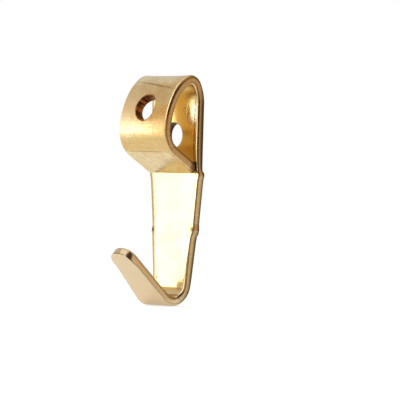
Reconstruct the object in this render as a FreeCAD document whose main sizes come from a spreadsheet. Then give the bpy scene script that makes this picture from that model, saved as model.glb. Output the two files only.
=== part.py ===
import FreeCAD, Part
import math
import os
import Sketcher
from FreeCAD import Placement, Rotation, Vector

# A brass-plated picture hook, folded from one tapered strip of sheet steel.
# The strip stands against a wall, curls forward at its top into a closed eye
# that guides the nail, and turns up at its foot into an open hook.
# +Z is up, the wall lies in the plane Y = 0 and the hook reaches towards -Y.
# The origin is the middle of the stamped pad that bears on the wall.

doc = FreeCAD.newDocument("picture_hook")

# Driving sizes, in millimetres and degrees.
SIZES = [
    ("strip_width", 10.0, "width of the strip above its taper"),
    ("strip_thick", 1.5, "thickness of the sheet"),
    ("side_taper", 5.4, "slope of each side of the strip below the eye"),
    ("taper_rise", 4.35, "height at which the strip starts to narrow"),
    ("panel_height", 7.8, "height of the recess stamped in the front"),
    ("pad_height", 9.6, "height of the pad that the stamping raises at the back"),
    ("panel_set", 0.25, "how far the stamping is set back"),
    ("plate_rise", 16.0, "height of the top bend's axis"),
    ("top_radius", 1.75, "inner radius of the top bend"),
    ("top_turn", 138.0, "angle of the top bend"),
    ("brow_radius", 5.65, "inner radius where the top runs into the front"),
    ("brow_turn", 10.0, "angle of that curve"),
    ("front_radius", 12.65, "inner radius of the bowed front"),
    ("front_turn", 27.5, "angle of the bowed front"),
    ("foot_radius", 2.4, "inner radius of the bend below the front"),
    ("foot_turn", 65.0, "angle of that bend"),
    ("end_gap", 0.15, "gap between the strip's end and the back plate"),
    ("shank_lean", 2.3, "forward lean of the shank below the stamping"),
    ("hook_drop", 12.4, "depth of the hook bend's axis"),
    ("hook_radius", 1.65, "inner radius of the hook bend"),
    ("arm_angle", 47.0, "angle of the hook's arm from the vertical"),
    ("arm_length", 10.0, "length of the straight arm to its tip"),
    ("tip_radius", 1.9, "corner radius of the tip"),
    ("hole_size", 3.8, "diameter of both nail holes"),
    ("back_hole_rise", 10.3, "height of the nail hole in the back plate"),
    ("front_hole_tilt", 19.5, "upward tilt of the nail hole in the front"),
    ("edge_round", 0.22, "rounding of the strip's edges on its back and outer side"),
    ("edge_break", 0.12, "rounding of the strip's edges on its front and inner side"),
]

sheet = doc.addObject("Spreadsheet::Sheet", "Sizes")
for row, (alias, value, meaning) in enumerate(SIZES, start=1):
    sheet.set("A%d" % row, str(value))
    sheet.setAlias("A%d" % row, alias)
    sheet.set("B%d" % row, meaning)
doc.recompute()


def size(alias):
    return float(getattr(sheet, alias))


def plane(body, role):
    return next(f for f in body.Origin.OriginFeatures if f.Role == role)


def new_sketch(body, role, name):
    sketch = body.newObject("Sketcher::SketchObject", name)
    sketch.AttachmentSupport = (plane(body, role), [""])
    sketch.MapMode = "FlatFace"
    return sketch


def line(sketch, start, end):
    return sketch.addGeometry(Part.LineSegment(start, end), False)


def arc(sketch, centre, radius, first, last):
    circle = Part.Circle(centre, Vector(0, 0, 1), radius)
    return sketch.addGeometry(Part.ArcOfCircle(circle, math.radians(first), math.radians(last)), False)


def join(sketch, *points):
    sketch.addConstraint(Sketcher.Constraint("Coincident", *points))


def smooth(sketch, *points):
    sketch.addConstraint(Sketcher.Constraint("Tangent", *points))


def bind(sketch, name, formula, kind, *where):
    """Add a named dimension and bind it to a formula of the sheet's sizes."""
    index = sketch.addConstraint(Sketcher.Constraint(kind, *where))
    sketch.renameConstraint(index, name)
    sketch.setExpression("Constraints." + name, formula)
    return index


def measure(sketch, name, kind, *where):
    """Add a named dimension that only reports what the sketch gives."""
    index = sketch.addConstraint(Sketcher.Constraint(kind, *where))
    sketch.setDriving(index, False)
    sketch.renameConstraint(index, name)
    return index


def place_sketch(sketch, base, turn):
    """Move a sketch on its plane: three base formulas and a turn about its X axis."""
    sketch.AttachmentOffset = Placement(Vector(0, 0, 0), Rotation(Vector(1, 0, 0), 1))
    for axis, formula in zip("xyz", base):
        sketch.setExpression("AttachmentOffset.Base." + axis, formula)
    sketch.setExpression("AttachmentOffset.Rotation.Angle", turn)


def confirm_cut(before, after):
    """Stop if a cut took nothing away."""
    if not after.Shape.Volume < before.Shape.Volume - 0.1:
        raise RuntimeError(after.Name + " removed nothing")


body = doc.addObject("PartDesign::Body", "Hook")
body.Label = "picture_hook"

# The strip's side profile. Every bend is a pair of arcs about one axis, so the
# sheet keeps its thickness all the way from the closed eye to the hook's tip.
profile = new_sketch(body, "YZ_Plane", "Profile")

thick = size("strip_thick")
set_back = size("panel_set")
half_pad = size("pad_height") / 2
half_panel = size("panel_height") / 2


def on_arc(centre, radius, angle):
    turned = math.radians(angle)
    return centre + Vector(math.cos(turned), math.sin(turned), 0) * radius


# Walk from the back plate over the eye: each bend starts where the last ended.
eye = [("top", size("top_radius"), size("top_turn")),
       ("brow", size("brow_radius"), size("brow_turn")),
       ("front", size("front_radius"), size("front_turn")),
       ("foot", size("foot_radius"), size("foot_turn"))]
heading = 0.0
inner_point = Vector(-set_back - thick, size("plate_rise"), 0)
outer, inner = {}, {}
for name, radius, turn in eye:
    centre = on_arc(inner_point, -radius, heading)
    outer[name] = arc(profile, centre, radius + thick, heading, heading + turn)
    inner[name] = arc(profile, centre, radius, heading, heading + turn)
    heading += turn
    inner_point = on_arc(centre, radius, heading)
outer_point = on_arc(inner_point, thick, heading)

end_y = -set_back - thick - size("end_gap")
run = Vector(-math.sin(math.radians(heading)), math.cos(math.radians(heading)), 0)
outer_end = outer_point + run * ((end_y - outer_point.x) / run.x)
inner_end = inner_point + run * ((end_y - inner_point.x) / run.x)
flat_out = line(profile, outer_point, outer_end)
flat_in = line(profile, inner_point, inner_end)
free_end = line(profile, outer_end, inner_end)

# The back plate, with the stamped panel set back from it.
plate_top = size("plate_rise")
plate_out = line(profile, Vector(-set_back, plate_top, 0), Vector(-set_back, half_pad, 0))
plate_in = line(profile, Vector(-set_back - thick, plate_top, 0), Vector(-set_back - thick, half_panel, 0))
step_out_up = line(profile, Vector(-set_back, half_pad, 0), Vector(0, half_pad, 0))
step_in_up = line(profile, Vector(-set_back - thick, half_panel, 0), Vector(-thick, half_panel, 0))
pad_out = line(profile, Vector(0, half_pad, 0), Vector(0, -half_pad, 0))
panel_in = line(profile, Vector(-thick, half_panel, 0), Vector(-thick, -half_panel, 0))

# The leaning shank, the hook bend and the straight arm.
lean = size("shank_lean")
lean_tan = math.tan(math.radians(lean))
lean_cos = math.cos(math.radians(lean))
drop = size("hook_drop")
reach = size("hook_radius")
back_y = -set_back - lean_tan * (drop - half_pad)
hook_axis = Vector(back_y - (thick + reach) / lean_cos, -drop, 0)
arm_side = 180 + size("arm_angle")
shank_side = 360 - lean
hook_out = arc(profile, hook_axis, reach + thick, arm_side, shank_side)
hook_in = arc(profile, hook_axis, reach, arm_side, shank_side)
shank_top_out = Vector(-set_back, -half_pad, 0)
shank_top_in = Vector(-set_back - lean_tan * (half_panel - half_pad) - thick / lean_cos, -half_panel, 0)
step_out_low = line(profile, Vector(0, -half_pad, 0), shank_top_out)
step_in_low = line(profile, Vector(-thick, -half_panel, 0), shank_top_in)
shank_out = line(profile, shank_top_out, on_arc(hook_axis, reach + thick, shank_side))
shank_in = line(profile, shank_top_in, on_arc(hook_axis, reach, shank_side))
arm_run = Vector(-math.sin(math.radians(size("arm_angle"))), math.cos(math.radians(size("arm_angle"))), 0)
arm_foot_out = on_arc(hook_axis, reach + thick, arm_side)
arm_foot_in = on_arc(hook_axis, reach, arm_side)
arm_out = line(profile, arm_foot_out, arm_foot_out + arm_run * size("arm_length"))
arm_in = line(profile, arm_foot_in, arm_foot_in + arm_run * size("arm_length"))
tip = line(profile, arm_foot_out + arm_run * size("arm_length"), arm_foot_in + arm_run * size("arm_length"))

for side, flat, plate in ((outer, flat_out, plate_out), (inner, flat_in, plate_in)):
    smooth(profile, plate, 1, side["top"], 1)
    smooth(profile, side["top"], 2, side["brow"], 1)
    smooth(profile, side["brow"], 2, side["front"], 1)
    smooth(profile, side["front"], 2, side["foot"], 1)
    smooth(profile, side["foot"], 2, flat, 1)
for name in outer:
    join(profile, outer[name], 3, inner[name], 3)
join(profile, hook_out, 3, hook_in, 3)
join(profile, flat_out, 2, free_end, 1)
join(profile, flat_in, 2, free_end, 2)
join(profile, plate_out, 2, step_out_up, 1)
join(profile, step_out_up, 2, pad_out, 1)
join(profile, pad_out, 2, step_out_low, 1)
join(profile, step_out_low, 2, shank_out, 1)
join(profile, plate_in, 2, step_in_up, 1)
join(profile, step_in_up, 2, panel_in, 1)
join(profile, panel_in, 2, step_in_low, 1)
join(profile, step_in_low, 2, shank_in, 1)
smooth(profile, shank_out, 2, hook_out, 2)
smooth(profile, shank_in, 2, hook_in, 2)
smooth(profile, hook_out, 1, arm_out, 1)
smooth(profile, hook_in, 1, arm_in, 1)
join(profile, arm_out, 2, tip, 1)
join(profile, arm_in, 2, tip, 2)

for upright in (plate_out, plate_in, pad_out, free_end):
    profile.addConstraint(Sketcher.Constraint("Vertical", upright))
for level in (step_out_up, step_in_up, step_out_low, step_in_low):
    profile.addConstraint(Sketcher.Constraint("Horizontal", level))
profile.addConstraint(Sketcher.Constraint("Symmetric", pad_out, 1, pad_out, 2, -1, 1))
profile.addConstraint(Sketcher.Constraint("Symmetric", panel_in, 1, panel_in, 2, -1))
profile.addConstraint(Sketcher.Constraint("Parallel", flat_in, flat_out))
profile.addConstraint(Sketcher.Constraint("Parallel", shank_in, shank_out))
profile.addConstraint(Sketcher.Constraint("Parallel", arm_in, arm_out))
profile.addConstraint(Sketcher.Constraint("Perpendicular", tip, arm_out))

bind(profile, "pad_height", "Sizes.pad_height", "DistanceY", pad_out, 2, pad_out, 1, 2 * half_pad)
bind(profile, "panel_height", "Sizes.panel_height", "DistanceY", panel_in, 2, panel_in, 1, 2 * half_panel)
bind(profile, "panel_thick", "Sizes.strip_thick", "DistanceX", panel_in, 1, pad_out, 1, thick)
bind(profile, "plate_set", "Sizes.panel_set", "DistanceX", plate_out, 2, pad_out, 1, set_back)
bind(profile, "plate_thick", "Sizes.strip_thick", "DistanceX", plate_in, 2, plate_out, 2, thick)
bind(profile, "shank_set", "Sizes.panel_set", "DistanceX", shank_out, 1, pad_out, 2, set_back)
bind(profile, "shank_thick", "Sizes.strip_thick", "Distance", shank_in, 1, shank_out, thick)
bind(profile, "shank_lean", "-(90 + Sizes.shank_lean) * 1 deg", "Angle", shank_out,
     math.radians(-90 - lean))
bind(profile, "hook_drop", "Sizes.hook_drop", "DistanceY", hook_in, 3, -1, 1, drop)
bind(profile, "hook_radius", "Sizes.hook_radius", "Radius", hook_in, reach)
bind(profile, "arm_angle", "(90 + Sizes.arm_angle) * 1 deg", "Angle", arm_out,
     math.radians(90 + size("arm_angle")))
bind(profile, "arm_length", "Sizes.arm_length", "Distance", arm_out, size("arm_length"))
bind(profile, "plate_rise", "Sizes.plate_rise", "DistanceY", -1, 1, inner["top"], 3, plate_top)
for name, radius, turn in eye:
    bind(profile, name + "_radius", "Sizes.%s_radius" % name, "Radius", inner[name], radius)
    bind(profile, name + "_turn", "Sizes.%s_turn * 1 deg" % name, "Angle", inner[name], math.radians(turn))
bind(profile, "end_gap", "Sizes.end_gap", "DistanceX", free_end, 1, plate_in, 2, size("end_gap"))
measure(profile, "hook_axis_fore", "DistanceX", hook_in, 3, -1, 1, -hook_axis.x)
measure(profile, "front_axis_fore", "DistanceX", inner["front"], 3, -1, 1, 1)
measure(profile, "front_axis_rise", "DistanceY", -1, 1, inner["front"], 3, 1)
doc.recompute()
strip = body.newObject("PartDesign::Pad", "Strip")
strip.Profile = profile
strip.SideType = "Symmetric"
strip.setExpression("Length", "Sizes.strip_width")
doc.recompute()

# Below the eye the strip narrows evenly along its length, round the bend and
# on to the tip. The shank and the arm are trimmed flat, in sketches square to
# each of them with their origins on the hook bend's axis, and between the two
# the trim winds round that axis. One side is trimmed and then mirrored.
HALF_WIDTH = "Sizes.strip_width / 2"
SLOPE = "tan(Sizes.side_taper * 1 deg)"
BEND_TURN = "(180 - Sizes.shank_lean - Sizes.arm_angle)"
BEND_LENGTH = "(Sizes.hook_radius + Sizes.strip_thick / 2) * " + BEND_TURN + " * pi / 180"


def trim_sketch(sketch, start_x, start_y, end_x, end_y, far):
    """A four-sided trim outside a sloping edge; returns the edge's line."""
    edge = line(sketch, Vector(start_x, start_y, 0), Vector(end_x, end_y, 0))
    top = line(sketch, Vector(end_x, end_y, 0), Vector(far, end_y, 0))
    side = line(sketch, Vector(far, end_y, 0), Vector(far, start_y, 0))
    base = line(sketch, Vector(far, start_y, 0), Vector(start_x, start_y, 0))
    for first, second in ((edge, top), (top, side), (side, base), (base, edge)):
        join(sketch, first, 2, second, 1)
    sketch.addConstraint(Sketcher.Constraint("Horizontal", top))
    sketch.addConstraint(Sketcher.Constraint("Horizontal", base))
    sketch.addConstraint(Sketcher.Constraint("Vertical", side))
    sketch.addConstraint(Sketcher.Constraint("PointOnObject", edge, 1, -1))
    bind(sketch, "far_side", "Sizes.strip_width", "DistanceX", -1, 1, side, 1, far)
    return edge


taper = math.tan(math.radians(size("side_taper")))
half_width = size("strip_width") / 2
shank_length = drop + size("taper_rise")
shank_half = half_width - taper * shank_length
bend_length = (reach + thick / 2) * math.radians(180 - lean - size("arm_angle"))
arm_half = shank_half - taper * bend_length

shank_trim = new_sketch(body, "XZ_Plane", "ShankTrim")
place_sketch(shank_trim, ("0 mm", "-Sizes.hook_drop", "Profile.Constraints.hook_axis_fore"),
             "-Sizes.shank_lean * 1 deg")
edge = trim_sketch(shank_trim, shank_half, 0, half_width, shank_length, 2 * half_width)
bind(shank_trim, "trim_top", "Sizes.hook_drop + Sizes.taper_rise",
     "DistanceY", -1, 1, edge, 2, shank_length)
bind(shank_trim, "trim_width", HALF_WIDTH, "DistanceX", -1, 1, edge, 2, half_width)
bind(shank_trim, "trim_slope", "(90 - Sizes.side_taper) * 1 deg", "Angle", edge,
     math.radians(90 - size("side_taper")))
measure(shank_trim, "shank_half", "DistanceX", -1, 1, edge, 1, shank_half)
doc.recompute()
shank_cut = body.newObject("PartDesign::Pocket", "ShankCut")
shank_cut.Profile = shank_trim
shank_cut.SideType = "Symmetric"
shank_cut.Type = "Length"
shank_cut.setExpression("Length", "4 * Sizes.strip_width")
doc.recompute()
confirm_cut(strip, shank_cut)

bend_trim = new_sketch(body, "XY_Plane", "BendTrim")
place_sketch(bend_trim, ("0 mm", "-Profile.Constraints.hook_axis_fore", "-Sizes.hook_drop"),
             "-Sizes.shank_lean * 1 deg")
near, wide = reach / 2, reach + 2 * thick
corners = [Vector(shank_half, near, 0), Vector(2 * half_width, near, 0),
           Vector(2 * half_width, wide, 0), Vector(shank_half, wide, 0)]
sides = [line(bend_trim, corners[i], corners[(i + 1) % 4]) for i in range(4)]
for i in range(4):
    join(bend_trim, sides[i], 2, sides[(i + 1) % 4], 1)
    kind = "Horizontal" if i % 2 == 0 else "Vertical"
    bend_trim.addConstraint(Sketcher.Constraint(kind, sides[i]))
bind(bend_trim, "shank_half", "ShankTrim.Constraints.shank_half",
     "DistanceX", -1, 1, sides[0], 1, shank_half)
bind(bend_trim, "far_side", "Sizes.strip_width", "DistanceX", -1, 1, sides[0], 2, 2 * half_width)
bind(bend_trim, "near_side", "Sizes.hook_radius / 2", "DistanceY", -1, 1, sides[0], 1, near)
bind(bend_trim, "wide_side", "Sizes.hook_radius + 2 * Sizes.strip_thick",
     "DistanceY", -1, 1, sides[2], 1, wide)
doc.recompute()
bend_cut = body.newObject("PartDesign::SubtractiveHelix", "BendCut")
bend_cut.Profile = bend_trim
bend_cut.ReferenceAxis = (bend_trim, ["H_Axis"])
bend_cut.Mode = "height-turns-growth"
bend_cut.setExpression("Height", SLOPE + " * " + BEND_LENGTH)
bend_cut.setExpression("Turns", BEND_TURN + " / 360")
bend_cut.Growth = 0
bend_cut.Reversed = True
bend_cut.LeftHanded = False
doc.recompute()
confirm_cut(shank_cut, bend_cut)

arm_trim = new_sketch(body, "XY_Plane", "ArmTrim")
place_sketch(arm_trim, ("0 mm", "-Profile.Constraints.hook_axis_fore", "-Sizes.hook_drop"),
             "(90 + Sizes.arm_angle) * 1 deg")
arm_far = size("arm_length") + thick
edge = trim_sketch(arm_trim, arm_half, 0, arm_half - taper * arm_far, arm_far, 2 * half_width)
bind(arm_trim, "trim_top", "Sizes.arm_length + Sizes.strip_thick", "DistanceY", -1, 1, edge, 2, arm_far)
bind(arm_trim, "arm_half", "ShankTrim.Constraints.shank_half - " + SLOPE + " * " + BEND_LENGTH + " * 1 mm",
     "DistanceX", -1, 1, edge, 1, arm_half)
bind(arm_trim, "trim_slope", "(90 + Sizes.side_taper) * 1 deg", "Angle", edge,
     math.radians(90 + size("side_taper")))
doc.recompute()
arm_cut = body.newObject("PartDesign::Pocket", "ArmCut")
arm_cut.Profile = arm_trim
arm_cut.SideType = "One side"
arm_cut.Type = "Length"
arm_cut.Reversed = True
arm_cut.setExpression("Length", "Sizes.hook_radius + 2 * Sizes.strip_thick")
doc.recompute()
confirm_cut(bend_cut, arm_cut)

both_sides = body.newObject("PartDesign::Mirrored", "BothSides")
both_sides.Originals = [shank_cut, bend_cut, arm_cut]
both_sides.MirrorPlane = (plane(body, "YZ_Plane"), [""])
body.Tip = both_sides
doc.recompute()
confirm_cut(arm_cut, both_sides)

# The tip is rounded across its whole width, which limits its corner radius.
TIP_HALF = "(ArmTrim.Constraints.arm_half - " + SLOPE + " * Sizes.arm_length * 1 mm)"
FULL_ROUND = TIP_HALF + " * tan((45 + Sizes.side_taper / 2) * 1 deg)"
axis_point = Vector(0, hook_axis.x, hook_axis.y)
along = Vector(0, arm_run.x, arm_run.y)
through = along.cross(Vector(1, 0, 0))


def tip_edge(edge):
    centre = edge.CenterOfMass - axis_point
    at_tip = abs(centre.dot(along) - size("arm_length")) < 1e-4
    ends = [v.Point for v in edge.Vertexes]
    across = abs((ends[1] - ends[0]).dot(through)) > 0.9 * thick
    return at_tip and across


tip_round = body.newObject("PartDesign::Fillet", "TipRound")
tip_edges = ["Edge%d" % i for i, e in enumerate(both_sides.Shape.Edges, start=1) if tip_edge(e)]
tip_round.Base = (both_sides, tip_edges)
tip_round.setExpression("Radius", "min(Sizes.tip_radius * 1 mm; 0.95 * " + FULL_ROUND + ")")
doc.recompute()

# The long edges of the blanked strip are rounded, more on the side that was
# uppermost in the press. The stamping's shallow steps limit both roundings.
OUTER_LINES = [flat_out, plate_out, pad_out, shank_out, hook_out, arm_out] + list(outer.values())
INNER_LINES = [flat_in, plate_in, panel_in, shank_in, hook_in, arm_in] + list(inner.values())


def round_edges(base, name, formula, lines):
    """Round the long edges that lie over these lines of the side profile."""
    curves = [profile.Geometry[i].toShape() for i in lines]
    names = []
    for i, edge in enumerate(base.Shape.Edges, start=1):
        halfway = (edge.FirstParameter + edge.LastParameter) / 2
        middle = edge.valueAt(halfway)
        lengthwise = abs(edge.tangentAt(halfway).x) < 0.5
        spot = Part.Vertex(middle.y, middle.z, 0)
        if lengthwise and any(spot.distToShape(curve)[0] < 1e-4 for curve in curves):
            names.append("Edge%d" % i)
    feature = body.newObject("PartDesign::Fillet", name)
    feature.Base = (base, names)
    feature.setExpression("Radius", formula)
    doc.recompute()
    return feature


LIMIT = "; 0.9 * Sizes.panel_set)"
outer_round = round_edges(tip_round, "OuterRound", "min(Sizes.edge_round" + LIMIT, OUTER_LINES)
inner_round = round_edges(outer_round, "InnerRound", "min(Sizes.edge_break" + LIMIT, INNER_LINES)

# The two nail holes: one square through the back plate, the other square to the
# bowed front where the nail enters it.


def hole_sketch(role, name):
    sketch = new_sketch(body, role, name)
    circle = sketch.addGeometry(Part.Circle(Vector(0, 0, 0), Vector(0, 0, 1), size("hole_size") / 2), False)
    join(sketch, circle, 3, -1, 1)
    bind(sketch, "hole_size", "Sizes.hole_size", "Diameter", circle, size("hole_size"))
    return sketch


back_ring = hole_sketch("XZ_Plane", "BackRing")
place_sketch(back_ring, ("0 mm", "Sizes.back_hole_rise", "Sizes.panel_set"), "0 deg")
back_hole = body.newObject("PartDesign::Pocket", "BackHole")
back_hole.Profile = back_ring
back_hole.SideType = "One side"
back_hole.Type = "Length"
back_hole.Reversed = True
back_hole.setExpression("Length", "Sizes.strip_thick")
doc.recompute()
confirm_cut(inner_round, back_hole)

INSIDE = "(Sizes.front_radius - Sizes.strip_thick / 2) * 1 mm"
TILT = "(Sizes.front_hole_tilt * 1 deg)"
front_ring = hole_sketch("XZ_Plane", "FrontRing")
place_sketch(front_ring, ("0 mm",
                          "Profile.Constraints.front_axis_rise + " + INSIDE + " * sin" + TILT,
                          "Profile.Constraints.front_axis_fore + " + INSIDE + " * cos" + TILT),
             "-Sizes.front_hole_tilt * 1 deg")
front_hole = body.newObject("PartDesign::Pocket", "FrontHole")
front_hole.Profile = front_ring
front_hole.SideType = "One side"
front_hole.Type = "Length"
front_hole.Reversed = True
front_hole.setExpression("Length", "2 * Sizes.strip_thick")
doc.recompute()
confirm_cut(back_hole, front_hole)

bad = [o.Name for o in doc.Objects if "Invalid" in o.State or "Error" in o.State]
if bad or body.Shape.isNull() or not body.Shape.isValid():
    raise RuntimeError("the model failed at " + ", ".join(bad))

os.makedirs("parts", exist_ok=True)
body.Shape.exportStep("parts/" + body.Label + ".step")
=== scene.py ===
# %% [markdown]
# # A brass-plated picture hook
# The hook is one strip of thin steel: blanked flat, punched twice, folded, and
# then plated with brass. This lesson makes it in the same order. We lay out the
# flat blank as a mesh, bend the mesh along the folded strip's side profile, and
# give it a plated finish under soft studio light.

import math

import bmesh
import bpy
import numpy as np
from mathutils import Matrix, Vector


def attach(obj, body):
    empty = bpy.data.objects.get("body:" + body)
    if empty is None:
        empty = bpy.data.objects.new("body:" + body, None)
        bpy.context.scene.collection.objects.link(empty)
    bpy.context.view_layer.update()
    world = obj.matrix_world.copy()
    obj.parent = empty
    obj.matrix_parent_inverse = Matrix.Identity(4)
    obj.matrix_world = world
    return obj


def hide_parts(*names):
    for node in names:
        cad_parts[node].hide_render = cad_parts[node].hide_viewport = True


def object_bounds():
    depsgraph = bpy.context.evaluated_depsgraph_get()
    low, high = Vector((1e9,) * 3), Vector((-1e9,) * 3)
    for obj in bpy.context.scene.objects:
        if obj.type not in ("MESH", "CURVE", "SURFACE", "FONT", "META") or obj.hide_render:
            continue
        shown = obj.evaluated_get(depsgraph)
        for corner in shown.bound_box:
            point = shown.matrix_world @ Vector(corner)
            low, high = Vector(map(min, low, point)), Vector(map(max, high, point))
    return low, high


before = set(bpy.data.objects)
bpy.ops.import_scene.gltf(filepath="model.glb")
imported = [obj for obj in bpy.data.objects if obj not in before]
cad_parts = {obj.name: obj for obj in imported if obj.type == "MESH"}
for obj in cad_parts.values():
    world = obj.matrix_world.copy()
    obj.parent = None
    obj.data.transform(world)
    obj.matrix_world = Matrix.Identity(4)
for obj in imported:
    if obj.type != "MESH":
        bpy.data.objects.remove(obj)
cad_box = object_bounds()
MM = 0.001
print("CAD box in mm:", [[round(c / MM, 2) for c in corner] for corner in cad_box])

# %% [markdown]
# ## The strip's path
# Seen from the side the sheet is one line that only ever turns the same way:
# a flat, five bends that close the eye, a long straight back, and the hook.
# A curve object with an extruded profile could follow that line, but then the
# holes would have to be cut afterwards. Here the line is a table of lengths and
# turns instead, and any flat point can be carried along it. All the sizes in
# the lesson are millimetres, and turns are degrees.

# %% Runs and bends of the sheet
THICK = 1.5
PANEL_SET = 0.25
PLATE_MID = PANEL_SET + THICK / 2
PLATE_TOP = 15.1
STEP_HEIGHT = 4.8
SHANK_LEAN = 2.3
LEAN_RUN = 0.4
HOOK_DROP = 12.4
HOOK_RADIUS = 1.65
ARM_ANGLE = 47.0
ARM_LENGTH = 10.0
# Inner radius and turn of each bend of the eye, from its free end to the plate.
BENDS = {"foot": (2.89, 62.77), "front": (9.68, 27.3), "brow": (7.15, 23.68),
         "top": (1.17, 99.75), "nape": (4.41, 27.0)}


def bend_length(inner_radius, turn):
    """Length of a bend along the middle of the sheet."""
    return (inner_radius + THICK / 2) * math.radians(turn)


lean = math.radians(SHANK_LEAN)
shank_length = (HOOK_DROP - STEP_HEIGHT) / math.cos(lean)
shank_length += (HOOK_RADIUS + THICK / 2) * math.tan(lean)
hook_turn = 180 - SHANK_LEAN - ARM_ANGLE
runs = [["flat", 0.0, 0.0]]
runs += [[name, bend_length(radius, turn), turn] for name, (radius, turn) in BENDS.items()]
runs += [["plate", PLATE_TOP + STEP_HEIGHT - LEAN_RUN / 2, 0.0],
         ["lean", LEAN_RUN, SHANK_LEAN],
         ["shank", shank_length - LEAN_RUN / 2, 0.0],
         ["hook", bend_length(HOOK_RADIUS, hook_turn), hook_turn],
         ["arm", ARM_LENGTH, 0.0]]
flat_heading = -90.0 - sum(turn for radius, turn in BENDS.values())
print("Runs:", ", ".join(name for name, length, turn in runs))

# %% [markdown]
# Bent sheet never goes from straight to round at once, so we walk along the runs
# in tiny steps and smooth the heading before adding the steps up. The first walk
# shows how far the eye reaches, which gives the length of its flat: the free end
# has to stop just short of the plate.

# %% Walk along the folded sheet
WALK = 0.02
SOFTENING = 0.9
END_GAP = 0.15
ON_PLATE = 5.0


def walk_path():
    """Run ends, and distance, forward, up and heading along the middle of the sheet."""
    ends = np.cumsum([0.0] + [length for name, length, turn in runs])
    headings = np.cumsum([flat_heading] + [turn for name, length, turn in runs])
    along = np.arange(0.0, ends[-1] + WALK, WALK)
    heading = np.radians(np.interp(along, ends, headings))
    count = int(SOFTENING / WALK) | 1
    kernel = np.hanning(count + 2)[1:-1]
    padded = np.pad(heading, count // 2, mode="edge")
    heading = np.convolve(padded, kernel / kernel.sum(), mode="valid")
    forward = np.cumsum(np.cos(heading)) * WALK
    up = np.cumsum(np.sin(heading)) * WALK
    return ends, along, forward, up, heading


ends, along, forward, up, heading = walk_path()
plate_run = 1 + len(BENDS)
foot_to_plate = np.interp(ends[plate_run] + ON_PLATE, along, forward) - forward[0]
flat_reach = -foot_to_plate - THICK / 2 - END_GAP
runs[0][1] = flat_reach / math.cos(math.radians(flat_heading))
ends, along, forward, up, heading = walk_path()
starts = {name: ends[i] for i, (name, length, turn) in enumerate(runs)}
forward += PLATE_MID - np.interp(starts["plate"] + ON_PLATE, along, forward)
up += cad_box[1].z / MM - THICK / 2 - up.max()
print("Strip length %.2f mm, flat %.2f mm" % (ends[-1], runs[0][1]))

# %% [markdown]
# ## The flat blank
# The press cuts a strip that is parallel at the eye and narrows evenly to a
# round tip. We describe its right edge as a row of stations, each with a point
# and the direction that leads into the metal. Stations lie closer together in
# the tight bends and at the stamped steps, where the shape changes quickly.

# %% Stations along the edge of the blank
HALF_WIDTH = 5.0
TAPER = math.radians(5.4)
TAPER_RUN = 16.75
TIP_RADIUS = 1.9
TIP_STATIONS = 22
PANEL_HALF = 3.9
PAD_HALF = 4.8
SPACING, BEND_SPACING, STEP_SPACING = 0.3, 0.14, 0.06
NEAR_BEND, NEAR_STEP = 0.3, 0.35
taper_start = starts["hook"] - TAPER_RUN
strip_end = ends[-1]


def plate_at(height):
    """Distance along the strip of a height on the back plate."""
    return starts["plate"] + PLATE_TOP - height


def half_width(s):
    """Half the strip's width at a distance along it."""
    return HALF_WIDTH - math.tan(TAPER) * np.maximum(0.0, s - taper_start)


def spaced_stations(last):
    """Distances along the strip, closer where it bends or steps."""
    s = np.linspace(0.0, last, 4000)
    spacing = np.full_like(s, SPACING)
    lengths = {name: length for name, length, turn in runs}
    for name in ("foot", "brow", "top", "nape", "hook"):
        first, bend_end = starts[name] - NEAR_BEND, starts[name] + lengths[name] + NEAR_BEND
        spacing[(s > first) & (s < bend_end)] = BEND_SPACING
    for height in (PAD_HALF, PANEL_HALF, -PANEL_HALF, -PAD_HALF):
        spacing[np.abs(s - plate_at(height)) < NEAR_STEP] = STEP_SPACING
    counted = np.concatenate([[0.0], np.cumsum(np.diff(s) / spacing[:-1])])
    return np.interp(np.linspace(0.0, counted[-1], int(counted[-1]) + 1), counted, s)


tip_middle = strip_end - TIP_RADIUS
tip_side = half_width(strip_end) + TIP_RADIUS * math.tan(TAPER) - TIP_RADIUS / math.cos(TAPER)
straight = spaced_stations(tip_middle + TIP_RADIUS * math.sin(TAPER))
slope = np.where(straight > taper_start, TAPER, 0.0)
round_tip = np.linspace(TAPER, math.pi / 2, TIP_STATIONS)[1:]
tip_arc = np.stack([np.cos(round_tip), np.sin(round_tip)], 1)
edge_points = np.concatenate([np.stack([half_width(straight), straight], 1),
                              TIP_RADIUS * tip_arc + [tip_side, tip_middle]])
edge_inward = -np.concatenate([np.stack([np.cos(slope), np.sin(slope)], 1), tip_arc])
print("Stations along each edge:", len(edge_points))

# %% [markdown]
# ## Faces, rounded edges and punched holes
# A blanked edge is rounded over, more in some places than in others: the stamp
# sharpens the inner corner beside the panel, and the hook's tool the outer one
# on the shank. Bevel modifiers could round the edges, but on a bent mesh they
# give uneven strips. Instead every part of the skin is a small grid in blank
# coordinates (across, along, through), and the grids meet exactly on their
# borders, so welding by distance joins them.

# %% Roundings along the strip
# Distance along the strip, and the corner's radius there.
OUTER_ROUNDS = [(plate_at(-4.5), 0.4), (plate_at(-5.2), 0.2), (starts["hook"] - 1.0, 0.2),
                (starts["hook"] + 1.5, 0.4), (strip_end - 3.0, 0.4), (strip_end - 1.8, 0.16)]
INNER_ROUNDS = [(starts["top"] + 1.5, 0.36), (starts["nape"] + 1.0, 0.25), (plate_at(5.1), 0.25),
                (plate_at(4.5), 0.1), (starts["hook"] - 6.0, 0.1), (starts["hook"] - 0.5, 0.3),
                (starts["arm"], 0.36)]
OUTER_ROWS, INNER_ROWS = 7, 5


def outer_round(s):
    """Rounding of the outer corner."""
    return np.interp(s, *np.array(OUTER_ROUNDS).T)


def inner_round(s):
    """Rounding of the inner corner."""
    return np.interp(s, *np.array(INNER_ROUNDS).T)


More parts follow.
